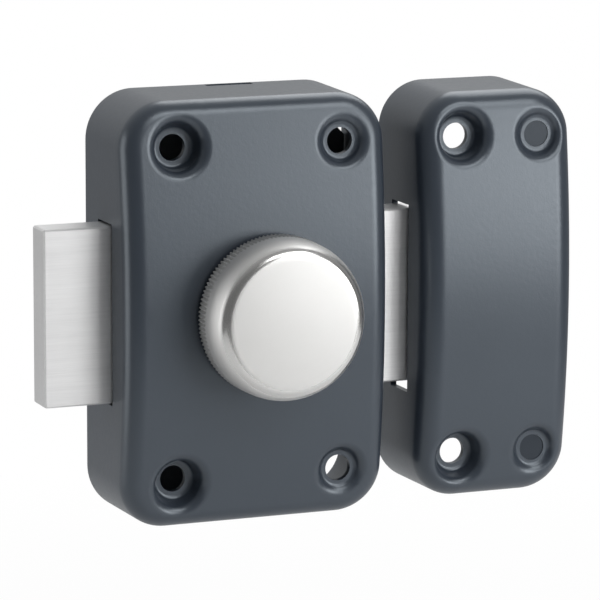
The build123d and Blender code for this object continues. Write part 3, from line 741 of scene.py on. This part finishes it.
class LOCK_OT_finishes(bpy.types.Operator):
    """Give every carried-over part its finish"""

    bl_idname = "lock.finishes"
    bl_label = "Finishes"

    def execute(self, context):
        finishes = context.scene.lock_finishes
        zinc = plated_finish("zinc_plate", finishes.zinc, 0.42)
        screw = plated_finish("screw_zinc", tone(finishes.zinc, 0.9), 0.38)
        spring = plated_finish("spring_steel", finishes.dark_steel, 0.35)
        machined = ground_finish("machined_steel", finishes.machined, "X", 0.34, 0.000006)
        brass = plated_finish("turned_brass", finishes.brass, 0.34)
        by_finish = {
            # The keeper's plugs get the covers' paint darkened as painted shade of their dimples.
            paint_finish("plug_paint", finishes.plug_paint, 0.35): ("keeper_plugs",),
            ground_finish("ground_bolt", finishes.bolt, "X", 0.44, 0.00002): ("bolt_bar",),
            zinc: ("case_pillars", "back_plate", "upper_guide", "lower_guide"),
            screw: ("plate_screws", "guide_screws", "knob_grub_screw", "rack_rivets"),
            spring: ("friction_spring", "retaining_ring"),
            machined: ("pinion_shaft", "rack_strip"),
            brass: ("rear_bush", "front_bush", "thrust_washer", "knob_washer"),
        }
        for material, nodes in by_finish.items():
            for node in nodes:
                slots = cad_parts[node].data.materials
                slots.clear()
                slots.append(material)
        return {"FINISHED"}


# The lamps stand on a ball about LAMP_MIDDLE, and the surroundings are palest at PALE_SIDE.
LAMP_MIDDLE = (0.02, -0.02, 0.0)
LAMP_REACH = 0.55
PALE_SIDE = (180.0, 45.0)
# Share of the background's white that mirrored rays see.
MIRRORED_WHITE = 0.12
# Tone of the surroundings by nearness to the pale side, and share of white by distance on the floor.
PALE_TONES = ((0.45, 0.04), (0.80, 0.30), (0.95, 0.60))
FLOOR_WHITE = ((0.1, 0.93), (0.35, 1.0))
# Each lamp has a name, azimuth, elevation, width, height and brightness.
LAMPS = (
    ("key", 32.0, 12.0, 0.35, 0.36, 2.2),
    ("key_core", 37.0, 4.0, 0.20, 0.20, 3.0),
    ("key_top", 22.0, 42.0, 0.36, 0.20, 3.8),
    ("left_strip", -101.0, 4.0, 0.32, 0.44, 1.6),
    ("back_fill", 135.0, 50.0, 0.40, 0.36, 2.3),
)


def toward(azimuth, elevation):
    """Unit vector at an azimuth, counted from the front towards the keeper, and an elevation."""
    turn, tilt = math.radians(azimuth), math.radians(elevation)
    return Vector((math.sin(turn) * math.cos(tilt), -math.cos(turn) * math.cos(tilt), math.sin(tilt)))


def soft_light(name, azimuth, elevation, width, height, brightness):
    """Rectangular soft lamp on a ball round the lock, that the camera doesn't see.

    Its power is brightness * pi * area, so that a brightness of 1 is a white panel's.
    """
    way = toward(azimuth, elevation)
    lamp = bpy.data.lights.new(name, "AREA")
    lamp.shape = "RECTANGLE"
    lamp.size = width
    lamp.size_y = height
    lamp.energy = brightness * math.pi * width * height
    holder = bpy.data.objects.new(name, lamp)
    turned = way.to_track_quat("Z", "Y").to_matrix().to_4x4()
    holder.matrix_world = Matrix.Translation(Vector(LAMP_MIDDLE) + way * LAMP_REACH) @ turned
    holder.visible_camera = False
    bpy.context.scene.collection.objects.link(holder)


def panel(name, corners, material):
    """Flat stage panel through four corners."""
    mesh = bpy.data.meshes.new(name)
    mesh.from_pydata([tuple(corner) for corner in corners], [], [(0, 1, 2, 3)])
    mesh.materials.append(material)
    piece = bpy.data.objects.new(name, mesh)
    bpy.context.scene.collection.objects.link(piece)
    return piece


def seen_white(graph):
    """One for rays from the camera and through glass, a share for mirrored ones, nought for others."""
    path = graph.node("ShaderNodeLightPath")
    outputs = ("Is Camera Ray", "Is Transmission Ray", "Is Glossy Ray")
    camera, through, glossy = (graph.value(path, output) for output in outputs)
    return camera + through + glossy * MIRRORED_WHITE


class LOCK_OT_studio(bpy.types.Operator):
    """Set up the camera, the pale floor, the surroundings and the soft lamps"""

    bl_idname = "lock.studio"
    bl_label = "Studio"

    def execute(self, context):
        settings = context.scene.lock_studio
        self.add_camera(context, settings)
        self.add_floor(settings)
        self.add_world(context)
        self.add_lamps()
        context.scene.view_settings.view_transform = "Standard"
        return {"FINISHED"}

    def add_camera(self, context, settings):
        """Camera on the view line through the target, rolled about it."""
        turn, tilt, roll = settings.azimuth, settings.elevation, settings.roll
        level = math.cos(tilt)
        forward = Vector((math.sin(turn) * level, math.cos(turn) * level, -math.sin(tilt)))
        right = Vector((math.cos(turn), -math.sin(turn), 0.0))
        up = right.cross(forward)
        rolled_right = right * math.cos(roll) + up * math.sin(roll)
        rolled_up = up * math.cos(roll) - right * math.sin(roll)
        target = Vector((settings.target_x, 0.0, -settings.target_drop))
        lens = bpy.data.cameras.new("camera")
        lens.lens = settings.lens
        lens.sensor_width = 36.0
        lens.clip_start = 0.01
        lens.clip_end = 100.0
        camera = bpy.data.objects.new("camera", lens)
        axes = Matrix((rolled_right, rolled_up, -forward)).transposed()
        camera.matrix_world = Matrix.Translation(target - forward * settings.distance) @ axes.to_4x4()
        context.scene.collection.objects.link(camera)
        context.scene.camera = camera

    def add_floor(self, settings):
        """Sheet of white paper below the lock, nearly all white to the camera, with a faint shadow."""
        material = bpy.data.materials.new("floor_paper")
        graph = Graph(material)
        paper = graph.node("ShaderNodeBsdfDiffuse", {}, {"Color": (0.8, 0.8, 0.8)})
        white = graph.node("ShaderNodeEmission", {}, {"Color": (1.0, 1.0, 1.0), "Strength": 1.0})
        way = graph.place(location=(-settings.target_x, 0.0, 0.0))
        away = graph.value(graph.node("ShaderNodeVectorMath", {"operation": "LENGTH"}, {0: way}), "Value")
        clear = graph.ramp(away, FLOOR_WHITE)
        sockets = {0: seen_white(graph) * clear, 1: graph.value(paper, 0), 2: graph.value(white, 0)}
        mixed = graph.value(graph.node("ShaderNodeMixShader", {}, sockets), 0)
        graph.node("ShaderNodeOutputMaterial", {}, {"Surface": mixed})
        level = CASE_LOW[2] - settings.floor_drop
        half = settings.floor_size / 2
        signs = ((-1, -1), (1, -1), (1, 1), (-1, 1))
        corners = [(settings.target_x + across * half, along * half, level) for across, along in signs]
        panel("floor", corners, material)

    def add_world(self, context):
        """Surroundings that are pale behind and dark round the camera, and white where it looks."""
        world = bpy.data.worlds.new("studio")
        context.scene.world = world
        graph = Graph(world)
        source = graph.value(graph.node("ShaderNodeTexCoord"), "Generated")
        way = tuple(toward(*PALE_SIDE))
        nearness = graph.node("ShaderNodeVectorMath", {"operation": "DOT_PRODUCT"}, {0: source, 1: way})
        tones = graph.ramp(graph.value(nearness, "Value") * 0.5 + 0.5, PALE_TONES)
        seen = graph.blend(seen_white(graph), tones, (1.0, 1.0, 1.0))
        background = graph.node("ShaderNodeBackground", {}, {"Color": seen, "Strength": 1.0})
        graph.node("ShaderNodeOutputWorld", {}, {"Surface": graph.value(background, 0)})

    def add_lamps(self):
        """A key of three panels at the front right, a strip on the left and a fill above and behind."""
        for lamp in LAMPS:
            soft_light(*lamp)


class VIEW3D_PT_rim_deadbolt(bpy.types.Panel):
    """Buttons and sizes of the rim deadbolt"""

    bl_label = "Rim Deadbolt"
    bl_space_type = "VIEW_3D"
    bl_region_type = "UI"
    bl_category = "Rim Deadbolt"

    def draw(self, context):
        for operator in BUILD_ORDER:
            self.layout.operator(operator.bl_idname)
        for group in ("lock_covers", "lock_knob", "lock_finishes", "lock_studio"):
            settings = getattr(context.scene, group)
            box = self.layout.box()
            for name in settings.bl_rna.properties.keys():
                if name not in ("rna_type", "name"):
                    box.prop(settings, name)


BUILD_ORDER = (LOCK_OT_studio, LOCK_OT_finishes, LOCK_OT_case, LOCK_OT_keeper, LOCK_OT_knob)
SETTINGS = {
    "lock_covers": CoverSizes,
    "lock_knob": KnobSizes,
    "lock_finishes": FinishColours,
    "lock_studio": StudioSettings,
}


def register():
    """Registers the settings, operators and panel."""
    for name, group in SETTINGS.items():
        bpy.utils.register_class(group)
        setattr(bpy.types.Scene, name, PointerProperty(type=group))
    for operator in BUILD_ORDER:
        bpy.utils.register_class(operator)
    bpy.utils.register_class(VIEW3D_PT_rim_deadbolt)


def unregister():
    """Removes what register added."""
    bpy.utils.unregister_class(VIEW3D_PT_rim_deadbolt)
    for operator in reversed(BUILD_ORDER):
        bpy.utils.unregister_class(operator)
    for name, group in SETTINGS.items():
        delattr(bpy.types.Scene, name)
        bpy.utils.unregister_class(group)


def main():
    """Registers the add-on and builds everything."""
    register()
    for operator in BUILD_ORDER:
        group, call = operator.bl_idname.split(".")
        getattr(getattr(bpy.ops, group), call)()


if __name__ == "__main__":
    main()
